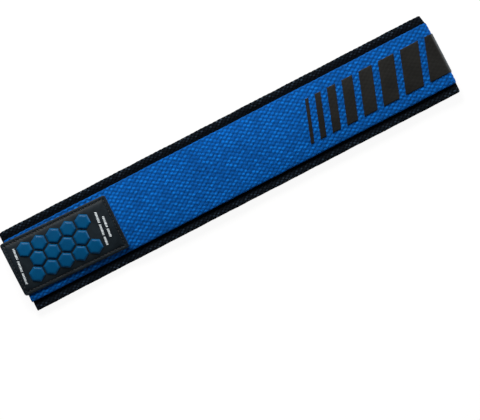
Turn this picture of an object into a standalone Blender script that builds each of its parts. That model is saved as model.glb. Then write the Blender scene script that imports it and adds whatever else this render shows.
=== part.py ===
"""Weightlifting strap: a padded cloth strip folded in half and laid flat, a rubber patch on its cut ends.

Metres, +Z up. X runs along the strap from the cut ends to the fold, Y across it. The underside of the lower
half lies on z = 0, and the origin is under the middle of the whole strap.
"""

import math

import bmesh
import bpy
import numpy as np

# Cloth strip
strap_length = 0.2813
webbing_width = 0.0400
webbing_thickness = 0.0015
webbing_edge_radius = 0.0005
backing_width = 0.0508
backing_thickness = 0.0018
backing_edge_radius = 0.0006
backing_setback = 0.0016
clearance = 0.0003

# Fold: the slit between the halves, and how square the folded end is (2 is round, more is squarer)
slit = 0.0006
fold_squareness = 3.4

# Rubber patch; its slope is how far it lies out of line with the strap, across over along
patch_length = 0.0674
patch_width = 0.0340
patch_slope = 0.031
patch_thickness = 0.0012
patch_overhang = 0.0012
patch_side_shift = 0.0011
patch_corner_radius = 0.0016
patch_edge_radius = 0.0003
channel_inset = 0.0014
channel_width = 0.0010
channel_depth = 0.0004

# Blue blocks, a honeycomb
block_across_flats = 0.0080
block_groove = 0.0014
block_height = 0.0009
block_edge_radius = 0.0004
block_rows = (5, 4, 5)
block_field_shift = -0.0027

# Rubber print: slanted bars that widen towards the fold
print_height = 0.0253
print_reach = 0.0920
print_wrap = 0.0022
fold_bar_reach = 0.0132
print_thickness = 0.0004
print_edge_radius = 0.00015
print_lean_degrees = 19.4
bar_count = 8
bar_first_width = 0.0022
bar_spacing = 0.0042

# Fineness of the meshes
fold_steps = 22
run_steps = 26
path_steps = 60
corner_steps = 5
bar_steps = 4
fold_bar_steps = 26
bar_cross_steps = 6
sharp_angle = math.radians(35)

# Height of the slit along the strap: share of the way from the cut ends to the fold, share of the slit
slit_waves = (
    (0.00, 1.0),
    (0.26, 1.0),
    (0.44, 1.8),
    (0.60, 1.2),
    (0.78, 1.9),
    (0.90, 1.5),
    (1.00, 2.3),
)

# Derived from the sizes above
layer = webbing_thickness + clearance + backing_thickness
whole_length = patch_overhang + strap_length + clearance + print_thickness
patch_end_x = -whole_length / 2
patch_centre_x = patch_end_x + patch_length / 2
end_x = patch_end_x + patch_overhang
fold_tip_x = end_x + strap_length
fold_half_slit = slit * slit_waves[-1][1] / 2
fold_centre_x = fold_tip_x - fold_half_slit - layer
fold_centre_z = layer + fold_half_slit

DARK_BLUE_RUBBER = (0.010, 0.085, 0.180)
WEBBING_BLUE = (0.005, 0.078, 0.300)
BAND_BLACK = (0.007, 0.009, 0.012)
PATCH_BLACK = (0.012, 0.013, 0.015)
PRINT_BLACK = (0.014, 0.012, 0.011)


def clear_scene():
    for item in list(bpy.data.objects):
        bpy.data.objects.remove(item)


def new_collection(name):
    collection = bpy.data.collections.new(name)
    bpy.context.scene.collection.children.link(collection)
    return collection


def new_material(name, colour, roughness):
    material = bpy.data.materials.new(name)
    material.use_nodes = True
    shader = material.node_tree.nodes["Principled BSDF"]
    shader.inputs["Base Color"].default_value = (*colour, 1.0)
    shader.inputs["Roughness"].default_value = roughness
    shader.inputs["Metallic"].default_value = 0.0
    return material


def add_object(name, mesh, collection, material):
    """Links a mesh as one named sub-part, shaded smooth with its sharp edges kept."""
    item = bpy.data.objects.new(name, mesh)
    collection.objects.link(item)
    if material is not None:
        mesh.materials.append(material)
    mesh.shade_smooth()
    mesh.set_sharp_from_angle(angle=sharp_angle)
    return item


def add_bevel(item, radius, segments=2, angle_degrees=40):
    bevel = item.modifiers.new("rounded edges", "BEVEL")
    bevel.width = radius
    bevel.segments = segments
    bevel.limit_method = "ANGLE"
    bevel.angle_limit = math.radians(angle_degrees)
    return bevel


def prism(name, outline, axis, low, high):
    """A closed mesh: an outline of (a, b) points pushed from low to high along the axis, "Y" or "Z"."""
    shape = bmesh.new()
    if axis == "Y":
        corners = [shape.verts.new((a, low, b)) for a, b in outline]
        push = (0.0, high - low, 0.0)
    else:
        corners = [shape.verts.new((a, b, low)) for a, b in outline]
        push = (0.0, 0.0, high - low)
    base = shape.faces.new(corners)
    pushed = bmesh.ops.extrude_face_region(shape, geom=[base], use_keep_orig=True)
    moved = [part for part in pushed["geom"] if isinstance(part, bmesh.types.BMVert)]
    bmesh.ops.translate(shape, vec=push, verts=moved)
    bmesh.ops.recalc_face_normals(shape, faces=shape.faces)
    mesh = bpy.data.meshes.new(name)
    shape.to_mesh(mesh)
    shape.free()
    return mesh


def slit_height(x):
    """Height of the slit at x: the table's rows joined by smooth steps."""
    places, heights = np.array(slit_waves).T
    share = np.clip((x - end_x) / (fold_centre_x - end_x), 0.0, 1.0)
    row = np.clip(np.searchsorted(places, share, side="right") - 1, 0, len(places) - 2)
    part = (share - places[row]) / (places[row + 1] - places[row])
    smooth = part * part * (3 - 2 * part)
    return slit * (heights[row] + (heights[row + 1] - heights[row]) * smooth)


def fold_line(offset, from_x, turns=fold_steps, steps=run_steps):
    """(x, z) points of the U-shaped line at an offset outside the slit, from the lower end to the upper.

    The end is half a superellipse, |x/a|^n + |z/a|^n = 1 with a = half the slit + offset.
    """
    half = fold_half_slit + offset
    angle = np.linspace(-math.pi / 2, math.pi / 2, turns + 1)
    power = 2 / fold_squareness
    round_x = fold_centre_x + half * np.abs(np.cos(angle)) ** power
    round_z = fold_centre_z + half * np.sign(angle) * np.abs(np.sin(angle)) ** power
    run_x = np.linspace(fold_centre_x, from_x, steps + 1)[1:]
    run_z = layer + slit_height(run_x) + offset
    x = np.concatenate(([from_x], round_x, run_x))
    z = np.concatenate(([layer - offset], round_z, run_z))
    return np.column_stack((x, z))


def folded_band(name, width, inner_offset, outer_offset, from_x, radius, collection, material):
    """One strip of cloth folded in half: the area between two fold lines, pushed across the strap."""
    outer = fold_line(outer_offset, from_x)
    inner = fold_line(inner_offset, from_x)
    outline = np.vstack((outer, inner[::-1]))
    mesh = prism(name, outline, "Y", -width / 2, width / 2)
    band = add_object(name, mesh, collection, material)
    add_bevel(band, radius)
    return band


def top_of_webbing(x):
    return layer + slit_height(x) + layer


def patch_outline(inset):
    """The patch's outline, moved in by inset: round corners, and long sides that slope across the strap.

    An inner outline's corners are rounded less, but never under a quarter of the patch's own.
    """
    half_long = patch_length / 2 - inset
    half_wide = patch_width / 2 - inset
    radius = max(patch_corner_radius - inset, patch_corner_radius / 4)
    corners = (
        (half_long, half_wide, 0.0),
        (-half_long, half_wide, 90.0),
        (-half_long, -half_wide, 180.0),
        (half_long, -half_wide, 270.0),
    )
    points = []
    for x, y, start in corners:
        centre_x = x - math.copysign(radius, x)
        centre_y = y - math.copysign(radius, y)
        for turn in np.radians(np.linspace(start, start + 90.0, corner_steps + 1)):
            point_x = centre_x + radius * math.cos(turn)
            point_y = centre_y + radius * math.sin(turn) - patch_slope * point_x
            points.append((point_x, point_y))
    return points


def make_channel_cutter(top, collection):
    """A flat ring round the patch, a little inside its edge, that cuts the sewing channel."""
    low, high = top - channel_depth, top + channel_depth
    ring = prism("sewing_channel", patch_outline(channel_inset), "Z", low, high)
    cutter = add_object("sewing_channel", ring, collection, None)
    core_outline = patch_outline(channel_inset + channel_width)
    core = prism("channel_core", core_outline, "Z", low - channel_depth, high + channel_depth)
    core_cutter = add_object("channel_core", core, collection, None)
    keep_middle = cutter.modifiers.new("middle", "BOOLEAN")
    keep_middle.operation = "DIFFERENCE"
    keep_middle.object = core_cutter
    for helper in (cutter, core_cutter):
        helper.hide_render = True
        helper.display_type = "WIRE"
    return cutter, core_cutter


def make_patch(collection, cutters, material):
    """Moulded rubber plate on the cut ends, with a sewing channel just inside its edge."""
    low = top_of_webbing(end_x) + clearance
    mesh = prism("rubber_patch", patch_outline(0.0), "Z", 0.0, patch_thickness)
    patch = add_object("rubber_patch", mesh, collection, material)
    patch.location = (patch_centre_x, patch_side_shift, low)
    add_bevel(patch, patch_edge_radius)
    for cutter in make_channel_cutter(patch_thickness, cutters):
        cutter.location = patch.location
    channel = patch.modifiers.new("sewing channel", "BOOLEAN")
    channel.operation = "DIFFERENCE"
    channel.object = cutters.objects["sewing_channel"]
    return patch


def make_blocks(collection, material):
    """The honeycomb of raised blocks on the patch, row by row, each row centred on the field."""
    pitch = block_across_flats + block_groove
    row_step = pitch * math.cos(math.radians(30))
    centre_x = patch_centre_x + block_field_shift
    low = top_of_webbing(end_x) + clearance + patch_thickness + clearance
    bpy.ops.mesh.primitive_cylinder_add(
        vertices=6,
        radius=block_across_flats / 2 / math.cos(math.radians(30)),
        depth=block_height,
    )
    pattern = bpy.context.object
    mesh = pattern.data
    bpy.data.objects.remove(pattern)
    mesh.name = "patch_block"
    mesh.materials.append(material)
    number = 0
    for row, count in enumerate(block_rows):
        row_y = patch_side_shift + ((len(block_rows) - 1) / 2 - row) * row_step
        for column in range(count):
            number += 1
            block = bpy.data.objects.new(f"patch_block_{number:02d}", mesh)
            collection.objects.link(block)
            x = centre_x + (column - (count - 1) / 2) * pitch
            y = row_y - patch_slope * (x - patch_centre_x)
            block.location = (x, y, low + block_height / 2)
            add_bevel(block, block_edge_radius)
    mesh.shade_flat()


def bar_edges():
    """(left, right) of each bar in metres along the webbing, 0 at the fold's tip, at half height.

    The widths grow by one constant step, chosen so that the last bar, which runs over the fold, starts at its
    own place.
    """
    slanted = bar_count - 1
    mean_width = (print_reach - fold_bar_reach) / slanted - bar_spacing
    growth = 2 * (mean_width - bar_first_width) / (slanted - 1)
    edges = []
    left = -print_reach
    for number in range(slanted):
        right = left + bar_first_width + growth * number
        edges.append((left, right))
        left = right + bar_spacing
    edges.append((left, print_wrap))
    return edges


def make_bars(collection, material):
    """Bars of thick rubber print: sheets laid along the webbing's outside, then given their thickness."""
    line = fold_line(layer + clearance, end_x, turns=path_steps, steps=path_steps)[::-1]
    lengths = np.concatenate(([0.0], np.cumsum(np.hypot(*np.diff(line, axis=0).T))))
    tip_length = lengths[np.argmax(line[:, 0])]
    lean = math.tan(math.radians(print_lean_degrees))
    for number, (left, right) in enumerate(bar_edges(), start=1):
        runs_over_fold = right > 0.0
        along = fold_bar_steps if runs_over_fold else bar_steps
        shape = bmesh.new()
        bmesh.ops.create_grid(shape, x_segments=along, y_segments=bar_cross_steps, size=0.5)
        for corner in shape.verts:
            y = corner.co.y * print_height
            start = left + lean * y
            stop = right if runs_over_fold else right + lean * y
            place = tip_length + start + (corner.co.x + 0.5) * (stop - start)
            x = np.interp(place, lengths, line[:, 0])
            z = np.interp(place, lengths, line[:, 1])
            corner.co = (x, y, z)
        mesh = bpy.data.meshes.new(f"print_bar_{number:02d}")
        shape.to_mesh(mesh)
        shape.free()
        bar = add_object(f"print_bar_{number:02d}", mesh, collection, material)
        thicken = bar.modifiers.new("print thickness", "SOLIDIFY")
        thicken.thickness = print_thickness
        thicken.offset = 1.0
        add_bevel(bar, print_edge_radius, segments=1, angle_degrees=60)


def main():
    clear_scene()
    strap = new_collection("weightlifting_strap")
    cutters = new_collection("cutters")
    blue_cotton = new_material("blue cotton webbing", WEBBING_BLUE, 0.85)
    black_band = new_material("black woven band", BAND_BLACK, 0.9)
    black_rubber = new_material("black patch rubber", PATCH_BLACK, 0.55)
    blue_rubber = new_material("blue patch rubber", DARK_BLUE_RUBBER, 0.5)
    print_rubber = new_material("dark rubber print", PRINT_BLACK, 0.6)
    folded_band(
        "webbing",
        webbing_width,
        backing_thickness + clearance,
        layer,
        end_x,
        webbing_edge_radius,
        strap,
        blue_cotton,
    )
    folded_band(
        "backing",
        backing_width,
        0.0,
        backing_thickness,
        end_x + backing_setback,
        backing_edge_radius,
        strap,
        black_band,
    )
    make_patch(strap, cutters, black_rubber)
    make_blocks(strap, blue_rubber)
    make_bars(strap, print_rubber)


main()
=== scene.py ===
"""The weightlifting strap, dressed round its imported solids: woven strips, rubber patch, thread and rubber
print.

Metres, +Z up. X runs along the strap from the cut ends to the fold, Y across it. Sections follow the order
in which such a strap is put together.
"""

import math

import bpy
import numpy as np
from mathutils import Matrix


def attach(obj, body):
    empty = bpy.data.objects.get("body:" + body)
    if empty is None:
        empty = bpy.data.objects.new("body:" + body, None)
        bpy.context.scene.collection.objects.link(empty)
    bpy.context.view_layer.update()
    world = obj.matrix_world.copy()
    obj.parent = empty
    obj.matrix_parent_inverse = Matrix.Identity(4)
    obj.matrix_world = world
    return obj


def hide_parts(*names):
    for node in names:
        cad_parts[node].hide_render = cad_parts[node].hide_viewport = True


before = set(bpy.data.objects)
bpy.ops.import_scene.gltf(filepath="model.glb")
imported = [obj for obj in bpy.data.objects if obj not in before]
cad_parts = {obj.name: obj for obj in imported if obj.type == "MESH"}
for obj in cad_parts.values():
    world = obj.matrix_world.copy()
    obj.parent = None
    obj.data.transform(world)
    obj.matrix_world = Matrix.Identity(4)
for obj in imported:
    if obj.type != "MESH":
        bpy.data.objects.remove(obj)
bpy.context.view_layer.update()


# Black band
# The padded band that lies against the wrist and the bar: a thick cotton weave, two inches wide, cut to
# length and folded in half. It is the inner layer, so only its edges, a fifth of its width, show beside the
# webbing.

strap_length = 0.2813
layer = 0.0036
slit = 0.0006
fold_squareness = 3.4
slit_waves = ((0.00, 1.0), (0.26, 1.0), (0.44, 1.8), (0.60, 1.2), (0.78, 1.9), (0.90, 1.5), (1.00, 2.3))
end_x = -0.1404
fold_half_slit = slit * slit_waves[-1][1] / 2
fold_centre_x = end_x + strap_length - fold_half_slit - layer
fold_centre_z = layer + fold_half_slit

webbing_half = 0.0200
band_width = 0.0508
band_outer = 0.0018
band_from_x = end_x + 0.0016
band_edge_radius = 0.0007
band_crown = 0.00020
band_period = 0.0030
band_pitch = 0.00110
band_margin = 0.0062
band_corner = 0.0017
band_crown_long = 0.00105
band_crown_wide = 0.00075
band_unevenness = 0.00012
end_reach = 0.008
band_end_skew = 0.0003
band_end_out = 0.0005
free_edge_y = 0.0195
free_edge_width = 0.0059
band_sag = 0.00045
sag_reach = 0.012
tip_y = 0.0186
tip_push = 0.0015
pressed_shade_y = 0.0196
pressed_shade_width = 0.0034
seam_y = 0.0206
seam_depth = 0.00075
seam_half_width = 0.0020
dome_rows = (
    (-0.142, 0.95),
    (-0.100, 1.05),
    (-0.064, 1.35),
    (-0.020, 0.50),
    (0.025, 1.45),
    (0.075, 1.05),
    (0.115, 0.75),
    (0.137, 0.20),
)
dome_rise = 0.0004
dome_fall = 0.0010
beyond_slope = 0.03
upper_blend = 0.0015
stack_height = 0.0078
droop_x = -0.0665
droop_reach = 0.009
droop_y = 0.007
droop_width = 0.012
patch_droop = 0.0006
roll_start_x = -0.128
roll_start_reach = 0.030
roll_stop_x = -0.0725
roll_stop_reach = 0.003
roll_y = 0.0160
roll_width = 0.0040
patch_roll = 0.0011


def slit_height(x):
    """Height of the slit between the halves at x: the rows of slit_waves joined by smooth steps."""
    places, heights = np.array(slit_waves).T
    share = np.clip((x - end_x) / (fold_centre_x - end_x), 0.0, 1.0)
    row = np.clip(np.searchsorted(places, share, side="right") - 1, 0, len(places) - 2)
    part = (share - places[row]) / (places[row + 1] - places[row])
    return slit * (heights[row] + (heights[row + 1] - heights[row]) * part * part * (3 - 2 * part))


def folded(turn, height, from_x):
    """(x, z) of a strip folded in half, at a turn from 0 to 3 and a height outside the slit.

    Turns 0 to 1 run along the lower half to the fold and 2 to 3 come back along the upper half. Between
    them the fold is half a superellipse, |x/a|^n + |z/a|^n = 1, whose half size a is half the slit plus the
    height.
    """
    half = fold_half_slit + height
    angle = (np.clip(turn, 1.0, 2.0) - 1.5) * math.pi
    power = 2 / fold_squareness
    round_x = fold_centre_x + half * np.abs(np.cos(angle)) ** power
    round_z = fold_centre_z + half * np.sign(angle) * np.abs(np.sin(angle)) ** power
    run = np.where(turn < 1.0, turn, 3.0 - turn)
    run_x = from_x + (fold_centre_x - from_x) * np.clip(run, 0.0, 1.0)
    run_z = np.where(turn < 1.0, layer - height, layer + slit_height(run_x) + height)
    on_fold = (turn >= 1.0) & (turn <= 2.0)
    return np.where(on_fold, round_x, run_x), np.where(on_fold, round_z, run_z)


def seam_dip(y):
    """How far the seam along each edge of the webbing draws the cloth in: a bell curve about its line."""
    return seam_depth * np.exp(-(((np.abs(y) - seam_y) / seam_half_width) ** 2))


def settled(x, y, z):
    """z after the padding has arched the strap: a parabola across, higher in the middle and lower at the
    edges.

    The parabola's size follows dome_rows along the strap, joined by smooth steps. Only the upper half
    rises, and the fall grows in proportion to z, so the table side stays flat. Where the patch is sewn on,
    the lower long edge droops further, as a square, and its last few millimetres are rolled down, as a
    steeper square.
    """
    places, sizes = np.array(dome_rows).T
    row = np.clip(np.searchsorted(places, x, side="right") - 1, 0, len(places) - 2)
    part = np.clip((x - places[row]) / (places[row + 1] - places[row]), 0, 1)
    size = sizes[row] + (sizes[row + 1] - sizes[row]) * part * part * (3 - 2 * part)
    inside = np.minimum(np.abs(y), webbing_half) / webbing_half
    beyond = np.maximum(np.abs(y) - webbing_half, 0.0) * beyond_slope
    upper = np.clip((z - fold_centre_z) / upper_blend, 0, 1)
    near_patch = np.clip((droop_x - x) / droop_reach, 0, 1)
    droop_along = near_patch * near_patch * (3 - 2 * near_patch)
    droop = patch_droop * droop_along * np.clip((-y - droop_y) / droop_width, 0, 1.1) ** 2
    roll_along = np.clip((x - roll_start_x) / roll_start_reach, 0, 1)
    roll_along = roll_along * np.clip((roll_stop_x - x) / roll_stop_reach, 0, 1)
    roll = patch_roll * roll_along * np.clip((-y - roll_y) / roll_width, 0, 1) ** 2
    fall = size * dome_fall * inside**2 + beyond + droop + roll
    return z + upper * size * dome_rise - np.clip(z / stack_height, 0, 1.3) * fall


def turn_table(height, from_x):
    """(turns, lengths): how far along the strip, at that height, each of many turns lies."""
    turns = np.concatenate((np.linspace(0, 1, 400), np.linspace(1, 2, 3000)[1:], np.linspace(2, 3, 400)[1:]))
    x, z = folded(turns, np.full(turns.shape, height), from_x)
    return turns, np.concatenate(([0.0], np.cumsum(np.hypot(np.diff(x), np.diff(z)))))


def strip_section(width, inner, outer, radius, columns):
    """Cross-section of a strip as a ring of points: y, height, outward y, outward height and distance
    round.

    The ring starts in the middle of the inner face, passes the +y edge, crosses the outer face at the
    columns and comes back past the -y edge. Each corner is a quarter circle of the radius. The distance is
    0 in the middle of the outer face.
    """
    half = width / 2 - radius
    quarter = np.radians(np.array([0.0, 30.0, 60.0, 90.0]))
    inner_y = np.linspace(0.0, half, 5)[:-1]
    arc_y = half + radius * np.sin(quarter)
    low_arc = inner + radius - radius * np.cos(quarter)
    high_arc = outer - radius + radius * np.cos(quarter[::-1])
    y = np.concatenate((inner_y, arc_y, arc_y[::-1]))
    high = np.concatenate((np.full(4, inner), low_arc, high_arc))
    out_y = np.concatenate((np.zeros(4), np.sin(quarter), np.sin(quarter[::-1])))
    out_high = np.concatenate((np.full(4, -1.0), -np.cos(quarter), np.cos(quarter[::-1])))
    middle = columns[(columns < half - 1e-5) & (columns > -half + 1e-5)][::-1]
    y = np.concatenate((y, middle, -y[:0:-1]))
    flat = np.ones(len(middle))
    high = np.concatenate((high, flat * outer, high[:0:-1]))
    out_y = np.concatenate((out_y, flat * 0.0, -out_y[:0:-1]))
    out_high = np.concatenate((out_high, flat, out_high[:0:-1]))
    round_way = np.concatenate(([0.0], np.cumsum(np.hypot(np.diff(y), np.diff(high)))))
    return y, high, out_y, out_high, round_way - (round_way[-1] + inner_y[1]) / 2


def crowns(along, across, period, pitch, long_half, wide_half, paired=0.0):
    """Height from 0 to 1 of a plain weave: the highest of the half-ellipsoids round each point.

    Each yarn, one pitch wide, comes to the surface once a period as a half-ellipsoid, half a period after
    the yarn beside it. Yarns lie in pairs, moved together by a share of the pitch. Sines of the yarn's and
    the crown's numbers make some crowns a little lower.
    """
    height = np.zeros(np.broadcast(along, across).shape)
    for step in (-1, 0, 1):
        yarn = np.floor(across / pitch) + step
        shift = np.mod(yarn, 2) * period / 2
        crown = np.round((along - shift) / period)
        beside = across - (yarn + 0.5 + paired * (1 - 2 * np.mod(yarn, 2))) * pitch
        inside = 1 - ((along - shift - crown * period) / long_half) ** 2 - (beside / wide_half) ** 2
        uneven = 0.80 + 0.20 * np.sin(12.9898 * yarn + 78.233 * crown + 3.1 * np.sin(yarn * crown))
        height = np.maximum(height, uneven * np.sqrt(np.clip(inside, 0, 1)))
    return height


def waves(values, *lengths):
    """A slow unevenness from -1 to 1: the mean of sines of those wave lengths."""
    return sum(np.sin(2 * math.pi * values / length + 9 * length * 1000) for length in lengths) / len(lengths)


def closed_mesh(name, points, faces, carried=None):
    """A mesh of those points and faces, turned so that they face outward, smooth-shaded.

    carried is a vector for each point, kept on the mesh as the attribute "weave": distance along and across
    the cloth in metres, and height of the weave from 0 to 1.
    """
    corners = [np.asarray(face) for face in faces]
    volume = 0.0
    for face in corners:
        a = points[face[:, 0]]
        for k in range(1, face.shape[1] - 1):
            volume += (a * np.cross(points[face[:, k]], points[face[:, k + 1]])).sum()
    ordered = [face if volume > 0 else face[:, ::-1] for face in corners]
    mesh = bpy.data.meshes.new(name)
    mesh.from_pydata(points.tolist(), [], [row for face in ordered for row in face.tolist()])
    if carried is not None:
        layer_data = mesh.attributes.new("weave", "FLOAT_VECTOR", "POINT")
        layer_data.data.foreach_set("vector", carried.astype(np.float32).ravel())
    mesh.shade_smooth()
    return mesh


def ring_faces(count, around, first=0):
    """Faces of a stack of rings, numbered ring by ring: quads between rings, and a fan from a point that
    follows the last ring, one for each end."""
    number = first + np.arange(count * around).reshape(count, around)
    near, far = number[:-1], number[1:]
    quads = np.stack((near, far, np.roll(far, -1, 1), np.roll(near, -1, 1)), -1).reshape(-1, 4)
    start, stop = first + count * around, first + count * around + 1
    ring = number[0]
    start_fan = np.stack((np.full(around, start), ring, np.roll(ring, -1)), -1)
    ring = number[-1]
    stop_fan = np.stack((np.full(around, stop), np.roll(ring, -1), ring), -1)
    return [quads, np.concatenate((start_fan, stop_fan))]


def ring_points(rings):
    """The rings' points in one list, followed by the middle of the first and of the last ring."""
    ends = np.stack((rings[0].mean(0), rings[-1].mean(0)))
    return np.concatenate((rings.reshape(-1, rings.shape[-1]), ends))


def dress(name, mesh, material, slot, *nodes):
    """The finished piece: an object at the origin that rides on the strap and stands for its CAD nodes."""
    piece = bpy.data.objects.new(name, mesh)
    bpy.context.scene.collection.objects.link(piece)
    mesh.materials.append(material)
    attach(piece, "root")
    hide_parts(*nodes)
    return piece


def linear(colour):
    """An sRGB hex colour as linear red, green, blue and 1."""
    parts = [int(colour[k : k + 2], 16) / 255 for k in (1, 3, 5)]
    return [p / 12.92 if p <= 0.04045 else ((p + 0.055) / 1.055) ** 2.4 for p in parts] + [1.0]


def add_node(material, kind, inputs=None, **settings):
    """Adds a shader node: settings are its properties, and an input is a value or the socket linked to it."""
    tree = material.node_tree
    node = tree.nodes.new(kind)
    for key, value in settings.items():
        setattr(node, key, value)
    for key, value in (inputs or {}).items():
        if isinstance(value, bpy.types.NodeSocket):
            tree.links.new(value, node.inputs[key])
        else:
            node.inputs[key].default_value = value
    return node


def new_material(name, inputs):
    """A material whose Principled shader has those inputs."""
    material = bpy.data.materials.new(name)
    material.use_nodes = True
    shader = material.node_tree.nodes["Principled BSDF"]
    for key, value in inputs.items():
        shader.inputs[key].default_value = value
    return material


def woven_cotton(name, pit_shade, mid, crown, inputs, yarn_pitch):
    """Woven cotton: matt dyed yarn, with painted shade in the pits between crowns and a painted highlight on
    the tops.

    Dye varies in blotches of 18 mm, in streaks one yarn wide and 12 mm long, and from tuft to tuft. Loose
    fibres are 0.4 mm long. The yarn's twist is drawn three times coarser than the real one, as its 0.15 mm
    would not show, and it slants across the yarn.
    """
    twist_length = 0.00045
    twist_slant = math.radians(52)
    tuft_size = 0.0011
    streak_length = 0.012
    material = new_material(name, inputs)
    shader = material.node_tree.nodes["Principled BSDF"]
    weave = add_node(material, "ShaderNodeAttribute", attribute_name="weave")
    parts = add_node(material, "ShaderNodeSeparateXYZ", {"Vector": weave.outputs["Vector"]})
    # The weave's height share picks the colour: painted shade in the pits and a painted highlight on the
    # crowns.
    shades = add_node(material, "ShaderNodeValToRGB", {"Fac": parts.outputs["Z"]})
    shades.color_ramp.elements[0].color = linear(pit_shade)
    shades.color_ramp.elements[1].color = linear(crown)
    middle = shades.color_ramp.elements.new(0.66)
    middle.color = linear(mid)
    place = add_node(material, "ShaderNodeTexCoord")
    blotches = add_node(
        material, "ShaderNodeTexNoise", {"Vector": place.outputs["Object"], "Scale": 55.0, "Detail": 3.0}
    )
    stretched = add_node(
        material,
        "ShaderNodeMapping",
        {"Vector": weave.outputs["Vector"], "Scale": (1 / streak_length, 1 / yarn_pitch, 0.0)},
    )
    streaks = add_node(
        material, "ShaderNodeTexNoise", {"Vector": stretched.outputs["Vector"], "Scale": 1.0, "Detail": 2.0}
    )
    tufts = add_node(
        material,
        "ShaderNodeTexNoise",
        {"Vector": place.outputs["Object"], "Scale": 1 / tuft_size, "Detail": 1.0},
    )
    slow = add_node(
        material,
        "ShaderNodeMath",
        {0: blotches.outputs["Fac"], 1: streaks.outputs["Fac"]},
        operation="ADD",
    )
    mixed = add_node(
        material,
        "ShaderNodeMath",
        {0: tufts.outputs["Fac"], 1: 2.0, 2: slow.outputs["Value"]},
        operation="MULTIPLY_ADD",
    )
    strength = add_node(
        material,
        "ShaderNodeMapRange",
        {"Value": mixed.outputs["Value"], "From Min": 1.2, "From Max": 2.8, "To Min": 0.64, "To Max": 1.36},
    )
    tinted = add_node(
        material,
        "ShaderNodeVectorMath",
        {0: shades.outputs["Color"], "Scale": strength.outputs["Result"]},
        operation="SCALE",
    )
    turned = add_node(
        material,
        "ShaderNodeMapping",
        {"Vector": weave.outputs["Vector"], "Rotation": (0.0, 0.0, twist_slant), "Scale": (1.0, 1.0, 0.0)},
    )
    twist = add_node(
        material,
        "ShaderNodeTexWave",
        {
            "Vector": turned.outputs["Vector"],
            "Scale": 2 * math.pi / 20 / twist_length,
            "Distortion": 1.6,
            "Detail": 2.0,
        },
    )
    fibres = add_node(
        material,
        "ShaderNodeTexNoise",
        {"Vector": place.outputs["Object"], "Scale": 2600.0, "Detail": 2.0},
    )
    rough = add_node(
        material,
        "ShaderNodeMath",
        {0: twist.outputs["Fac"], 1: fibres.outputs["Fac"]},
        operation="ADD",
    )
    relief = add_node(
        material,
        "ShaderNodeBump",
        {"Height": rough.outputs["Value"], "Strength": 0.6, "Distance": 0.00009},
    )
    links = material.node_tree.links
    links.new(tinted.outputs["Vector"], shader.inputs["Base Color"])
    links.new(relief.outputs["Normal"], shader.inputs["Normal"])
    return material


def folded_strip(name, section, rows, crown_heights, from_x, table, finish_ends):
    """One strip of cloth folded in half, as a closed tube: a cross-section carried along the folded line.

    rows are distances along the table's line; crown_heights is how far each point stands out of the
    section, by row and point, with its share of the full crown; finish_ends moves points of the finished
    rings.
    """
    y, high, out_y, out_high, across = section
    raised, share = crown_heights
    turns, lengths = table
    turn = np.interp(rows, lengths, turns)[:, None]
    height = high + out_high * raised
    x, z = folded(np.broadcast_to(turn, height.shape), height, from_x)
    rings = finish_ends(np.stack((x, y + out_y * raised, z), -1))
    carried = np.stack((np.broadcast_to(rows[:, None], x.shape), np.broadcast_to(across, x.shape), share), -1)
    return closed_mesh(name, ring_points(rings), ring_faces(*x.shape), ring_points(carried))


def band_ends(rings):
    """Sags the free edges as a square, turns the cut ends slightly out of square and rounds one corner.

    Round the fold the free edges stand out a little further than the middle, which the webbing holds in,
    and the upper one less than the lower.
    """
    x, y, z = np.moveaxis(rings, -1, 0).copy()
    z = settled(x, y, z)
    beside = np.clip((np.abs(y) - free_edge_y) / free_edge_width, 0, 1)
    on_run = np.clip((fold_centre_x - x) / sag_reach, 0, 1)
    z = z - band_sag * beside**2 * on_run * (1 + 0.5 * waves(x, 0.061, 0.037))
    pushed = np.clip((np.abs(y) - tip_y) / 0.0010, 0, 1) * (1 - np.where(y > 0, 0.8, 0.2) * beside)
    x = x + tip_push * pushed * np.clip((x - fold_centre_x) / 0.002, 0, 1)
    near_end = np.clip(1 - (x - band_from_x) / end_reach, 0, 1) ** 2
    past = np.clip((y - (band_width / 2 - band_corner)) / band_corner, 0, 1)
    setback = band_corner * (1 - np.sqrt(1 - past**2))
    x = x + near_end * (setback + band_end_skew * (y / band_width) - band_end_out)
    y = y + band_unevenness * waves(x, 0.083, 0.031, 0.0137) * np.sign(y) * beside
    return np.stack((x, y, z), -1)


band_table = turn_table(band_outer, band_from_x)
band_total = band_table[1][-1]
band_fold = np.interp([1.0, 2.0], *band_table)
band_rows = np.concatenate(
    (
        [0.0, 0.0003],
        np.arange(0.0008, band_fold[0] - 0.002, band_period / 4),
        np.arange(band_fold[0] - 0.001, band_total - 0.0009, band_period / 6),
        [band_total - 0.0003, band_total],
    )
)
band_columns = np.concatenate(
    (
        -band_width / 2 + np.arange(0.0, band_margin, band_pitch / 3),
        [-0.012, -0.004, 0.004, 0.012],
        band_width / 2 - np.arange(0.0, band_margin, band_pitch / 3)[::-1],
    )
)
band_section = strip_section(band_width, 0.0, band_outer - band_crown, band_edge_radius, band_columns)
band_over_x = folded(np.interp(band_rows, *band_table[::-1]), band_outer, band_from_x)[0][:, None]
before_fold = np.clip((fold_centre_x - band_over_x) / sag_reach, 0, 1)
band_raise = -before_fold * np.where(band_section[3] > 0.5, seam_dip(band_section[0]), 0.0)
band_share = crowns(
    band_rows[:, None] + 0.0002 * waves(band_section[4], 0.0031, 0.0077),
    band_section[4],
    band_period,
    band_pitch,
    band_crown_long,
    band_crown_wide,
)
band_hidden = np.abs(band_section[0]) < band_width / 2 - band_margin
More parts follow.
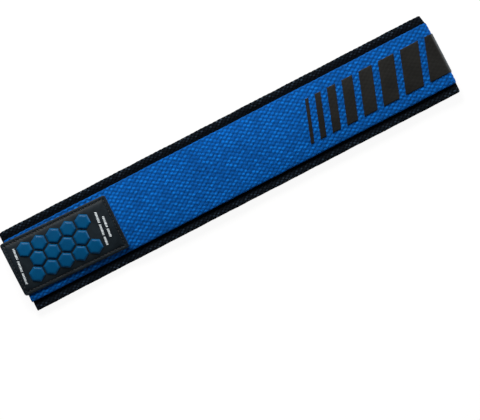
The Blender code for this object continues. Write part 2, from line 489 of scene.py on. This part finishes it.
# Beside the webbing the band's crowns are pressed lower, and the lower share also paints the band darker
# there: painted shade in the groove along the seam.
band_share = band_share * np.clip((np.abs(band_section[0]) - pressed_shade_y) / pressed_shade_width, 0.1, 1)
band_share = np.where(band_hidden | (band_section[3] < -0.5), 0.6, band_share)
black_cotton = woven_cotton(
    "black cotton weave",
    "#010204",
    "#0c131b",
    "#2c3845",
    {"Roughness": 0.85, "Specular IOR Level": 0.04, "Sheen Weight": 0.004, "Sheen Roughness": 0.5},
    band_pitch,
)
band = dress(
    "black_band",
    folded_strip(
        "black_band",
        band_section,
        band_rows,
        (band_crown * band_share + band_raise, band_share),
        band_from_x,
        band_table,
        band_ends,
    ),
    black_cotton,
    "band",
    "backing",
)


# Blue webbing
# The strip that takes the load: heavy cotton webbing, 40 mm wide and 1.5 mm thick, in a plain weave of
# plump yarns with a firm selvedge. It is sewn on the outside of the band and folded with it.

webbing_width = 0.0400
webbing_inner = band_outer - 0.00004
webbing_crown = 0.00019
webbing_period = 0.00394
webbing_yarns = 30
webbing_pitch = webbing_width / webbing_yarns
webbing_edge_radius = 0.0007
selvedge = 0.0017
crown_long = 0.00132
crown_wide = 0.00086
yarn_pairing = 0.06
dip_share = 0.15
webbing_setback = 0.0004
webbing_skew = 0.0008
webbing_unevenness = 0.00010
corner_y = 0.0165
corner_width = 0.0035
corner_setback = 0.0011
narrowed_y = 0.012
narrowed_width = 0.008
narrowing = 0.0004
patch_x, patch_y = -0.1079, 0.0011
patch_slope = 0.031
valley_stop_x = -0.0722
valley_reach = 0.004
valley_place = 0.0174
valley_depth = 0.00045
valley_half_width = 0.0009


def webbing_ends(rings):
    """Arches the upper half, makes the width slightly uneven and cuts the ends out of square.

    The corner at +y is drawn in, as a square, and the lower long edge lies a little further in than the
    upper.
    """
    x, y, z = np.moveaxis(rings, -1, 0).copy()
    z = settled(x, y, z)
    near_end = np.clip(1 - (x - end_x) / end_reach, 0, 1) ** 2
    drawn_in = corner_setback * np.clip((y - corner_y) / corner_width, 0, 1) ** 2
    x = x + near_end * (webbing_setback + webbing_skew * (y / webbing_width + 0.5) + drawn_in)
    y = y + webbing_unevenness * waves(x, 0.071, 0.029, 0.0113) * np.sign(y) * (np.abs(y) > 0.018)
    y = y + narrowing * np.clip((-y - narrowed_y) / narrowed_width, 0, 1)
    return np.stack((x, y, z), -1)


webbing_table = turn_table(layer, end_x)
webbing_total = webbing_table[1][-1]
webbing_fold = np.interp([1.0, 2.0], *webbing_table)
webbing_rows = np.concatenate(
    (
        [0.0, 0.0003],
        np.arange(0.0008, webbing_fold[0] - 0.002, webbing_period / 4),
        np.arange(webbing_fold[0] - 0.001, webbing_total - 0.0008, webbing_period / 8),
        [webbing_total - 0.0003, webbing_total],
    )
)
webbing_columns = np.linspace(-webbing_width / 2, webbing_width / 2, 3 * webbing_yarns + 1)
webbing_section = strip_section(
    webbing_width, webbing_inner, layer - webbing_crown, webbing_edge_radius, webbing_columns
)
webbing_across = webbing_section[4]
webbing_share = crowns(
    webbing_rows[:, None] + 0.00012 * waves(webbing_across, 0.0057, 0.0131),
    webbing_across + 0.00008 * waves(webbing_rows[:, None], 0.0187, 0.047),
    webbing_period,
    webbing_pitch,
    crown_long,
    crown_wide,
    yarn_pairing,
)
# Towards the selvedge the crowns are lower, and the lower share also paints the edge darker: painted shade
# where the edge dips into the seam's groove.
inside_edge = np.clip((webbing_width / 2 - np.abs(webbing_across)) / selvedge, 0, 1)
flat_and_shaded_edge = inside_edge * inside_edge * (3 - 2 * inside_edge)
webbing_share = webbing_share * (0.60 + 0.40 * flat_and_shaded_edge)
webbing_share = np.where(webbing_section[3] < -0.5, 0.5, webbing_share)
webbing_dip = -dip_share * webbing_section[3] * seam_dip(webbing_section[0])
over_x = folded(np.interp(webbing_rows, *webbing_table[::-1]), layer, end_x)[0][:, None]
on_upper_half = webbing_rows[:, None] > webbing_total / 2
by_patch = np.clip((valley_stop_x - over_x) / valley_reach, 0, 1) * on_upper_half
from_patch_middle = webbing_section[0] - patch_y + patch_slope * (over_x - patch_x)
from_valley = (np.abs(from_patch_middle) - valley_place) / valley_half_width
patch_valley = by_patch * valley_depth * np.exp(-(from_valley**2)) * (webbing_section[3] > 0.5)
webbing_raise = webbing_crown * webbing_share + (webbing_dip - patch_valley) * np.abs(webbing_section[3])
blue_cotton = woven_cotton(
    "blue cotton webbing",
    "#02356b",
    "#0351a0",
    "#0b6bc0",
    {"Roughness": 0.75, "Specular IOR Level": 0.04, "Sheen Weight": 0.006, "Sheen Roughness": 0.5},
    webbing_pitch,
)
webbing = dress(
    "blue_webbing",
    folded_strip(
        "blue_webbing",
        webbing_section,
        webbing_rows,
        (webbing_raise, webbing_share),
        end_x,
        webbing_table,
        webbing_ends,
    ),
    blue_cotton,
    "cotton_webbing",
    "webbing",
)


# Rubber patch
# A moulded plate of soft black rubber that hides the cut ends. It is sewn on through a channel just inside
# its edge, and the thread draws it down a little at each hole.

patch_length = 0.0674
patch_width = 0.0340
patch_corner = 0.0016
channel_middle = 0.0019
channel_half_width = 0.0009
stitch_pitch = 0.0022
thread_pull = 0.00010
rim_floor = 0.0088
patch_shear = 0.022
patch_stretch = 0.0006


def patch_ring(inset, long_steps=150, wide_steps=70, corner_steps=8):
    """(x, y) of the patch's outline moved in by inset: round corners, and long sides that slope across the
    strap.

    Each side has evenly spaced points and each corner is a quarter circle, so rings of different insets
    match point for point.
    """
    half_long = patch_length / 2 - inset
    half_wide = patch_width / 2 - inset
    radius = max(patch_corner - inset, patch_corner / 4)
    corners = (
        (half_long, half_wide, 0.0, long_steps),
        (-half_long, half_wide, 90.0, wide_steps),
        (-half_long, -half_wide, 180.0, long_steps),
        (half_long, -half_wide, 270.0, wide_steps),
    )
    arcs = []
    for x, y, start, _ in corners:
        angle = np.radians(np.linspace(start, start + 90, corner_steps + 1))
        centre = (x - math.copysign(radius, x), y - math.copysign(radius, y))
        arcs.append(np.column_stack((centre[0] + radius * np.cos(angle), centre[1] + radius * np.sin(angle))))
    loop = []
    for number, (_, _, _, steps) in enumerate(corners):
        share = np.linspace(0, 1, steps + 1)[1:-1, None]
        following = arcs[(number + 1) % 4][0]
        loop += [arcs[number], arcs[number][-1] * (1 - share) + following * share]
    ring = np.concatenate(loop)
    return ring - ring[:, :1] * (0.0, patch_slope)


def drawn_askew(x, y):
    """x of a point on the patch, whose end towards the fold is drawn askew: a shear that grows from its
    middle."""
    drawn = patch_stretch + patch_shear * (y - patch_y)
    return x + drawn * np.clip((x - patch_x) / (patch_length / 2), 0, 1)


def patch_profile():
    """(inset, z) of the patch from the middle of its underside over its edge and channel to its middle."""
    mm = 0.001
    rows = [
        (8.0, 7.65),
        (0.2, 7.65),
        (0.0, 7.80),
        (0.0, 8.60),
        (0.0, 8.84),
        (0.06, 8.96),
        (0.18, 9.06),
        (0.38, 9.12),
        (0.70, 9.15),
        (1.10, 9.16),
        (1.34, 9.14),
        (1.46, 9.08),
        (1.54, 8.96),
        (1.66, 8.86),
        (1.90, 8.82),
        (2.14, 8.86),
        (2.28, 8.95),
        (2.48, 9.04),
        (2.90, 9.15),
        (3.50, 9.25),
        (4.20, 9.32),
        (5.20, 9.35),
        (8.00, 9.36),
        (11.0, 9.37),
        (14.0, 9.37),
    ]
    return np.array(rows) * mm


profile = patch_profile()
outline = np.stack([patch_ring(inset) for inset, _ in profile])
channel_ring = patch_ring(channel_middle)
channel_steps = np.hypot(*(np.roll(channel_ring, -1, 0) - channel_ring).T)
channel_length = channel_steps.sum()
channel_way = np.concatenate(([0.0], np.cumsum(channel_steps)[:-1]))
stitch_count = round(channel_length / stitch_pitch)
drawn = 0.5 + 0.5 * np.cos(2 * math.pi * stitch_count * channel_way / channel_length)
near_channel = np.exp(-(((profile[:, 0] - channel_middle) / channel_half_width) ** 2))
near_channel = near_channel * (profile[:, 1] > rim_floor)
patch_z = profile[:, 1][:, None] - thread_pull * near_channel[:, None] * drawn**2
patch_rings = np.stack(
    (outline[..., 0] + patch_x, outline[..., 1] + patch_y, np.broadcast_to(patch_z, outline.shape[:2])), -1
)
patch_rings[..., 2] = settled(*np.moveaxis(patch_rings, -1, 0))
patch_rings[..., 0] = drawn_askew(patch_rings[..., 0], patch_rings[..., 1])
# Soft PVC from a steel mould is satin and nearly black, with dusty blotches of 6 mm and a grain of 0.3 mm
black_rubber = new_material(
    "black moulded rubber", {"Base Color": linear("#141a1f"), "Roughness": 0.45, "Specular IOR Level": 0.08}
)
patch_place = add_node(black_rubber, "ShaderNodeTexCoord")
patch_dust = add_node(
    black_rubber,
    "ShaderNodeTexNoise",
    {"Vector": patch_place.outputs["Object"], "Scale": 160.0, "Detail": 5.0},
)
patch_grain = add_node(
    black_rubber,
    "ShaderNodeTexNoise",
    {"Vector": patch_place.outputs["Object"], "Scale": 3200.0, "Detail": 2.0},
)
patch_shades = add_node(black_rubber, "ShaderNodeValToRGB", {"Fac": patch_dust.outputs["Fac"]})
patch_shades.color_ramp.elements[0].position = 0.35
patch_shades.color_ramp.elements[0].color = linear("#11171c")
patch_shades.color_ramp.elements[1].position = 0.70
patch_shades.color_ramp.elements[1].color = linear("#192127")
patch_rough = add_node(
    black_rubber, "ShaderNodeMapRange", {"Value": patch_dust.outputs["Fac"], "To Min": 0.38, "To Max": 0.52}
)
patch_relief = add_node(
    black_rubber,
    "ShaderNodeBump",
    {"Height": patch_grain.outputs["Fac"], "Strength": 0.4, "Distance": 0.00005},
)
patch_shader = black_rubber.node_tree.nodes["Principled BSDF"]
black_rubber.node_tree.links.new(patch_shades.outputs["Color"], patch_shader.inputs["Base Color"])
black_rubber.node_tree.links.new(patch_rough.outputs["Result"], patch_shader.inputs["Roughness"])
black_rubber.node_tree.links.new(patch_relief.outputs["Normal"], patch_shader.inputs["Normal"])
patch_mesh = closed_mesh("rubber_patch_plate", ring_points(patch_rings), ring_faces(*patch_rings.shape[:2]))
dress("rubber_patch_plate", patch_mesh, black_rubber, "patch_rubber", "rubber_patch")


# Blue blocks
# A honeycomb of raised blocks in blue rubber, moulded in one with the patch. Their sides slope, so each has
# a light and a dark edge, and their corners are rounded by the mould.

block_pitch = 0.0094
block_rows = (5, 4, 5)
block_field_x = patch_x - 0.0027
block_corner = 0.0004


def block_ring(apothem):
    """(x, y) of a hexagon with round corners: a circle of the corner's radius carried round a smaller one."""
    turns = np.radians(90 + 60 * np.arange(6))[:, None]
    sweep = turns + np.radians(np.linspace(-30, 30, 5))[None, :]
    radius = min(block_corner, apothem / 2)
    reach = (apothem - radius) / math.cos(math.radians(30))
    x = reach * np.cos(turns) + radius * np.cos(sweep)
    y = reach * np.sin(turns) + radius * np.sin(sweep)
    return np.column_stack((x.ravel(), y.ravel()))


block_profile = 0.001 * np.array(
    [
        (4.30, 9.15),
        (4.30, 9.38),
        (4.22, 9.50),
        (3.96, 9.95),
        (3.74, 10.20),
        (3.50, 10.35),
        (3.22, 10.44),
        (2.92, 10.49),
        (2.50, 10.50),
        (1.00, 10.50),
    ]
)
block_outline = np.stack([block_ring(apothem) for apothem, _ in block_profile])
block_z = np.broadcast_to(block_profile[:, 1][:, None], block_outline.shape[:2])
block_rings = np.concatenate((block_outline, block_z[..., None]), -1)
block_points = []
block_faces = []
row_step = block_pitch * math.cos(math.radians(30))
for row, count in enumerate(block_rows):
    for column in range(count):
        centre_x = block_field_x + (column - (count - 1) / 2) * block_pitch
        row_y = patch_y + ((len(block_rows) - 1) / 2 - row) * row_step
        centre = (centre_x, row_y - patch_slope * (centre_x - patch_x), 0.0)
        first = sum(len(part) for part in block_points)
        block_faces += ring_faces(*block_rings.shape[:2], first)
        placed = block_rings + np.array(centre)
        placed[..., 2] = settled(*np.moveaxis(placed, -1, 0))
        block_points.append(ring_points(placed))
# The same moulded PVC in blue: a little glossier on the crowns, with clouds of 8 mm and the mould's grain
blue_rubber = new_material(
    "blue moulded rubber", {"Base Color": linear("#013e65"), "Roughness": 0.34, "Specular IOR Level": 0.09}
)
block_place = add_node(blue_rubber, "ShaderNodeTexCoord")
block_cloud = add_node(
    blue_rubber,
    "ShaderNodeTexNoise",
    {"Vector": block_place.outputs["Object"], "Scale": 120.0, "Detail": 4.0},
)
block_grain = add_node(
    blue_rubber,
    "ShaderNodeTexNoise",
    {"Vector": block_place.outputs["Object"], "Scale": 3200.0, "Detail": 2.0},
)
block_shades = add_node(blue_rubber, "ShaderNodeValToRGB", {"Fac": block_cloud.outputs["Fac"]})
block_shades.color_ramp.elements[0].position = 0.3
block_shades.color_ramp.elements[0].color = linear("#013a60")
block_shades.color_ramp.elements[1].position = 0.75
block_shades.color_ramp.elements[1].color = linear("#01436b")
block_relief = add_node(
    blue_rubber,
    "ShaderNodeBump",
    {"Height": block_grain.outputs["Fac"], "Strength": 0.3, "Distance": 0.00004},
)
block_shader = blue_rubber.node_tree.nodes["Principled BSDF"]
blue_rubber.node_tree.links.new(block_shades.outputs["Color"], block_shader.inputs["Base Color"])
blue_rubber.node_tree.links.new(block_relief.outputs["Normal"], block_shader.inputs["Normal"])
block_mesh = closed_mesh("patch_blocks", np.concatenate(block_points), block_faces)
dress(
    "patch_blocks",
    block_mesh,
    blue_rubber,
    "block_rubber",
    *[f"patch_block_{number:02d}" for number in range(1, sum(block_rows) + 1)],
)


# Patch stitches
# Bonded polyester thread in the channel, black, about 0.45 mm thick. Each stitch is a short arch whose ends
# go down through the rubber.

thread_radius = 0.00023
stitch_length = 0.0017
stitch_arch = 0.00035
stitch_z = 0.00904
heading_reach = 0.0005
stitch_waver = 0.07


def stitch_rings(rings=9, around=7):
    """One stitch along x, as rings of a tube: its middle line is an arch, z falling as the fourth power of
    x."""
    share = np.linspace(-1, 1, rings)[:, None]
    angle = np.linspace(0, 2 * math.pi, around, endpoint=False)[None, :]
    x = share * stitch_length / 2 + 0 * angle
    y = thread_radius * np.cos(angle) + 0 * share
    z = thread_radius * np.sin(angle) - stitch_arch * share**4
    return np.stack((x, y, z), -1)


stitch = stitch_rings()
stitch_way = (np.arange(stitch_count) + 0.5) * channel_length / stitch_count
closed_ring = np.concatenate((channel_ring, channel_ring[:1]))
closed_way = np.append(channel_way, channel_length)
stitch_x = np.interp(stitch_way, closed_way, closed_ring[:, 0])
stitch_y = np.interp(stitch_way, closed_way, closed_ring[:, 1])
ahead = (stitch_way + heading_reach) % channel_length
heading = np.arctan2(
    np.interp(ahead, closed_way, closed_ring[:, 1]) - stitch_y,
    np.interp(ahead, closed_way, closed_ring[:, 0]) - stitch_x,
)
heading = heading + stitch_waver * np.sin(5.3 * np.arange(stitch_count))
stitch_points = []
stitch_faces = []
for x, y, turn in zip(stitch_x, stitch_y, heading):
    turned = stitch[..., :2] @ np.array(((math.cos(turn), math.sin(turn)), (-math.sin(turn), math.cos(turn))))
    placed = np.concatenate((turned + (patch_x + x, patch_y + y), stitch[..., 2:] + stitch_z), -1)
    placed[..., 2] = settled(*np.moveaxis(placed, -1, 0))
    placed[..., 0] = drawn_askew(placed[..., 0], placed[..., 1])
    first = sum(len(part) for part in stitch_points)
    stitch_faces += ring_faces(*placed.shape[:2], first)
    stitch_points.append(ring_points(placed))
# Bonded polyester is smooth and slightly shiny; its twist is drawn at 0.3 mm, as the real one would not
# show
black_thread = new_material(
    "black bonded thread", {"Base Color": linear("#0b0d10"), "Roughness": 0.5, "Specular IOR Level": 0.35}
)
thread_place = add_node(black_thread, "ShaderNodeTexCoord")
thread_twist = add_node(
    black_thread,
    "ShaderNodeTexWave",
    {"Vector": thread_place.outputs["Object"], "Scale": 1000.0, "Distortion": 2.0},
    bands_direction="DIAGONAL",
)
thread_relief = add_node(
    black_thread,
    "ShaderNodeBump",
    {"Height": thread_twist.outputs["Fac"], "Strength": 0.5, "Distance": 0.00005},
)
thread_shader = black_thread.node_tree.nodes["Principled BSDF"]
black_thread.node_tree.links.new(thread_relief.outputs["Normal"], thread_shader.inputs["Normal"])
stitch_mesh = closed_mesh("patch_stitches", np.concatenate(stitch_points), stitch_faces)
dress("patch_stitches", stitch_mesh, black_thread, "patch_rubber")


# White marks
# Rows of fine raised ticks in white rubber ink, printed on the patch on both sides of the blocks. A gap
# after every eighth tick breaks each row up.

mark_lines = (
    ((-0.1352, 0.0125), (-0.1376, -0.0098)),
    ((-0.0826, 0.0112), (-0.0850, -0.0096)),
    ((-0.0797, 0.0070), (-0.0812, -0.0066)),
)
mark_height = 0.0014
mark_pitch = 0.00086
mark_width = 0.00062
mark_slant = 0.00016
mark_low = 0.0092
mark_high = 0.00945
mark_taper = 0.93
mark_points = []
mark_faces = []
tick_faces = np.array([(0, 1, 2, 3), (7, 6, 5, 4), (0, 4, 5, 1), (1, 5, 6, 2), (2, 6, 7, 3), (3, 7, 4, 0)])
for (start_x, start_y), (stop_x, stop_y) in mark_lines:
    way = np.array((stop_x - start_x, stop_y - start_y))
    length = np.hypot(*way)
    way = way / length
    side = np.array((-way[1], way[0]))
    count = int(length / mark_pitch)
    for number in range(count):
        if number % 9 == 8:
            continue
        middle = np.array((start_x, start_y)) + way * mark_pitch * (number + 0.5)
        tall = mark_height * (0.5 if number % 4 == 1 else 0.43)
        wide = mark_width * (0.62 if number % 3 == 2 else 0.5)
        slant = way * mark_slant
        flat = np.array(
            (
                middle - way * wide - side * tall - slant,
                middle + way * wide - side * tall - slant,
                middle + way * wide + side * tall + slant,
                middle - way * wide + side * tall + slant,
            )
        )
        low = np.column_stack((flat, np.full(4, mark_low)))
        high = np.column_stack((middle + (flat - middle) * mark_taper, np.full(4, mark_high)))
        mark_faces.append(tick_faces + 8 * len(mark_points))
        tick = np.concatenate((low, high))
        tick[:, 1] -= patch_slope * (tick[:, 0] - patch_x)
        tick[:, 2] = settled(*tick.T)
        mark_points.append(tick)
# Rubber ink is matt and off-white, worn thinner in spots of 1 mm
white_ink = new_material(
    "white rubber ink", {"Base Color": linear("#bcc5cb"), "Roughness": 0.6, "Specular IOR Level": 0.3}
)
ink_place = add_node(white_ink, "ShaderNodeTexCoord")
ink_wear = add_node(
    white_ink, "ShaderNodeTexNoise", {"Vector": ink_place.outputs["Object"], "Scale": 900.0, "Detail": 3.0}
)
ink_shades = add_node(white_ink, "ShaderNodeValToRGB", {"Fac": ink_wear.outputs["Fac"]})
ink_shades.color_ramp.elements[0].position = 0.3
ink_shades.color_ramp.elements[0].color = linear("#868f96")
ink_shades.color_ramp.elements[1].position = 0.55
ink_shades.color_ramp.elements[1].color = linear("#c6ced4")
white_ink.node_tree.links.new(
    ink_shades.outputs["Color"], white_ink.node_tree.nodes["Principled BSDF"].inputs["Base Color"]
)
mark_mesh = closed_mesh("white_marks", np.concatenate(mark_points), mark_faces)
mark_mesh.shade_flat()
dress("white_marks", mark_mesh, white_ink, "patch_rubber")


# Print bars
# Thick dark rubber ink, screened on the webbing in slanted bars that widen towards the fold and run over
# it. The weave shows through as a faint relief, and a painted highlight makes the ink pale where it bends
# over the fold.

print_height = 0.0253
print_reach = 0.0920
print_wrap = 0.0022
fold_bar_reach = 0.0132
print_lean = math.tan(math.radians(19.4))
print_low = layer - 0.00022
print_thickness = 0.00062
print_line = layer + 0.0003
ink_crown_long = 0.00150
ink_crown_wide = 0.00098
ink_relief = 0.00007
bar_edge_radius = 0.00028
across_step = 0.00044
along_step = 0.00049
bar_count = 8
bar_first_width = 0.0022
bar_spacing = 0.0042


def bar_edges():
    """(left, right) of each bar in metres along the webbing, 0 at the fold's tip, widening by a constant
    step."""
    slanted = bar_count - 1
    mean_width = (print_reach - fold_bar_reach) / slanted - bar_spacing
    growth = 2 * (mean_width - bar_first_width) / (slanted - 1)
    edges = []
    left = -print_reach
    for number in range(slanted):
        right = left + bar_first_width + growth * number
        edges.append((left, right))
        left = right + bar_spacing
    return edges + [(left, print_wrap)]


def edged(length, step):
    """Places from 0 to length: close together at both ends, where the edge is round, and a step apart
    between."""
    edge = np.array((0.0, 0.00005, 0.00014, 0.00028))
    between = np.linspace(0.0006, length - 0.0006, max(2, round((length - 0.0012) / step) + 1))
    return np.concatenate((edge, between, length - edge[::-1]))


def slab_faces_of(rows, columns, first=0):
    """Faces of a closed slab: a grid of points for its top, then one for its bottom, joined round the rim."""
    top = first + np.arange(rows * columns).reshape(rows, columns)
    low = top + rows * columns
    upper = np.stack((top[:-1, :-1], top[1:, :-1], top[1:, 1:], top[:-1, 1:]), -1).reshape(-1, 4)
    lower = np.stack((low[:-1, :-1], low[:-1, 1:], low[1:, 1:], low[1:, :-1]), -1).reshape(-1, 4)
    rim = np.concatenate((top[0, :], top[1:, -1], top[-1, -2::-1], top[-2:0:-1, 0]))
    under = rim + rows * columns
    sides = np.stack((rim, np.roll(rim, -1), np.roll(under, -1), under), -1)
    return [np.concatenate((upper, lower, sides))]


print_table = turn_table(print_line, end_x)
tip_length = np.interp(1.5, *print_table)
bar_points = []
bar_faces = []
for left, right in bar_edges():
    over_fold = right > 0.0
    across_places = edged(print_height, across_step)
    along_places = edged(right - left, along_step)
    from_edge_y = np.minimum(across_places, print_height - across_places)[None, :]
    from_edge_x = np.minimum(along_places, (right - left) - along_places)[:, None]
    y = (across_places - print_height / 2)[None, :] + 0 * along_places[:, None]
    start = left + print_lean * y
    stop = right + (0 if over_fold else print_lean) * y
    place = start + (along_places[:, None] / (right - left)) * (stop - start)
    distance = tip_length - place
    from_edge = np.minimum(from_edge_x, from_edge_y)
    rounding = np.sqrt(1 - (1 - np.clip(from_edge / bar_edge_radius, 0, 1)) ** 2)
    beneath = crowns(distance, y, webbing_period, webbing_pitch, ink_crown_long, ink_crown_wide)
    height = print_low + print_thickness * (0.35 + 0.65 * rounding) + ink_relief * (beneath - 0.6) * rounding
    turn = np.interp(distance, print_table[1], print_table[0])
    x, z = folded(turn, height, end_x)
    z = settled(x, y, z)
    low_x, low_z = folded(turn, np.full(turn.shape, print_low), end_x)
    low_z = settled(low_x, y, low_z)
    first = sum(len(part) for part in bar_points)
    bar_faces += slab_faces_of(*x.shape, first)
    bar_points.append(np.stack((x, y, z), -1).reshape(-1, 3))
    bar_points.append(np.stack((low_x, y, low_z), -1).reshape(-1, 3))
# Plastisol ink, cured thick, is matt and nearly black, with clouds of 11 mm and a grain of 0.4 mm. A painted
# highlight, a pale line of 1 mm, crosses it just before the fold's tip. Sockets 0, 6 and 7 of the Mix node
# are its share and its two colours
rubber_ink = new_material(
    "dark rubber ink", {"Base Color": linear("#161615"), "Roughness": 0.5, "Specular IOR Level": 0.13}
)
print_place = add_node(rubber_ink, "ShaderNodeTexCoord")
print_cloud = add_node(
    rubber_ink,
    "ShaderNodeTexNoise",
    {"Vector": print_place.outputs["Object"], "Scale": 90.0, "Detail": 5.0},
)
print_grain = add_node(
    rubber_ink,
    "ShaderNodeTexNoise",
    {"Vector": print_place.outputs["Object"], "Scale": 2400.0, "Detail": 2.0},
)
print_shades = add_node(rubber_ink, "ShaderNodeValToRGB", {"Fac": print_cloud.outputs["Fac"]})
print_shades.color_ramp.elements[0].position = 0.3
print_shades.color_ramp.elements[0].color = linear("#131312")
print_shades.color_ramp.elements[1].position = 0.75
print_shades.color_ramp.elements[1].color = linear("#191918")
print_parts = add_node(rubber_ink, "ShaderNodeSeparateXYZ", {"Vector": print_place.outputs["Object"]})
# Painted highlight: a pale grey line along the crease where the ink bends over the fold
print_crease_highlight = add_node(rubber_ink, "ShaderNodeValToRGB")
print_crease_highlight.color_ramp.elements[1].color = linear("#000000")
for share, shade in ((0.55, "#000000"), (0.76, "#ffffff"), (0.84, "#ffffff")):
    print_crease_highlight.color_ramp.elements.new(share).color = linear(shade)
print_highlight_span = add_node(
    rubber_ink,
    "ShaderNodeMapRange",
    {"Value": print_parts.outputs["X"], "From Min": 0.1385, "From Max": 0.1415},
)
print_mix = add_node(rubber_ink, "ShaderNodeMix", {7: linear("#333c41")}, data_type="RGBA")
rubber_ink.node_tree.links.new(print_highlight_span.outputs["Result"], print_crease_highlight.inputs["Fac"])
print_rough = add_node(
    rubber_ink, "ShaderNodeMapRange", {"Value": print_cloud.outputs["Fac"], "To Min": 0.42, "To Max": 0.62}
)
print_relief = add_node(
    rubber_ink,
    "ShaderNodeBump",
    {"Height": print_grain.outputs["Fac"], "Strength": 0.35, "Distance": 0.00005},
)
print_shader = rubber_ink.node_tree.nodes["Principled BSDF"]
rubber_ink.node_tree.links.new(print_crease_highlight.outputs["Color"], print_mix.inputs[0])
rubber_ink.node_tree.links.new(print_shades.outputs["Color"], print_mix.inputs[6])
rubber_ink.node_tree.links.new(print_mix.outputs[2], print_shader.inputs["Base Color"])
rubber_ink.node_tree.links.new(print_rough.outputs["Result"], print_shader.inputs["Roughness"])
rubber_ink.node_tree.links.new(print_relief.outputs["Normal"], print_shader.inputs["Normal"])
bar_mesh = closed_mesh("print_bars", np.concatenate(bar_points), bar_faces)
dress(
    "print_bars",
    bar_mesh,
    rubber_ink,
    "print_rubber",
    *[f"print_bar_{number:02d}" for number in range(1, bar_count + 1)],
)


# Studio
# A pale table under soft light from the strap's long upper side, and a camera straight above it, turned as
# the photograph is.

bpy.context.scene.view_settings.view_transform = "Standard"
floor_mesh = bpy.data.meshes.new("table_top")
floor_half = 3.0
floor_z = -0.0001
floor_corners = [(x * floor_half, y * floor_half, floor_z) for x, y in ((-1, -1), (1, -1), (1, 1), (-1, 1))]
floor_mesh.from_pydata(floor_corners, [], [(0, 1, 2, 3)])
floor = bpy.data.objects.new("table_top", floor_mesh)
bpy.context.scene.collection.objects.link(floor)
floor_mesh.materials.append(
    new_material(
        "white acrylic table",
        {
            "Base Color": (0.08, 0.08, 0.08, 1.0),
            "Roughness": 0.7,
            "Specular IOR Level": 0.1,
            "Emission Color": linear("#ffffff"),
            "Emission Strength": 0.93,
        },
    )
)

world = bpy.data.worlds.new("studio air")
bpy.context.scene.world = world
world.use_nodes = True
world.node_tree.nodes["Background"].inputs["Color"].default_value = linear("#f6f8fb")
world.node_tree.nodes["Background"].inputs["Strength"].default_value = 0.11

studio_lights = (
    ("main softbox", (0.02, 0.60, 0.48), (0.45, 0.40), 11.4, "#fffdf8"),
    ("fold softbox", (1.00, 0.12, 0.14), (0.5, 0.2), 8.5, "#ffffff"),
)
for name, place, size, power, colour in studio_lights:
    lamp = bpy.data.lights.new(name, "AREA")
    lamp.shape = "RECTANGLE"
    lamp.size, lamp.size_y = size
    lamp.energy = power
    lamp.color = linear(colour)[:3]
    stand = bpy.data.objects.new(name, lamp)
    bpy.context.scene.collection.objects.link(stand)
    stand.location = place
    aim = -np.array(place)
    stand.rotation_euler = (
        math.acos(-aim[2] / np.linalg.norm(aim)),
        0.0,
        math.atan2(aim[1], aim[0]) - math.pi / 2,
    )

camera_data = bpy.data.cameras.new("view from above")
camera_data.lens = 200.0
camera_data.sensor_width = 36.0
camera_data.clip_end = 20.0
view_width = 0.28145
camera = bpy.data.objects.new("view from above", camera_data)
bpy.context.scene.collection.objects.link(camera)
camera.location = (-0.00669, -0.02761, 0.0085 + view_width * camera_data.lens / camera_data.sensor_width)
camera.rotation_euler = (0.0, 0.0, math.radians(-27.4))
bpy.context.scene.camera = camera
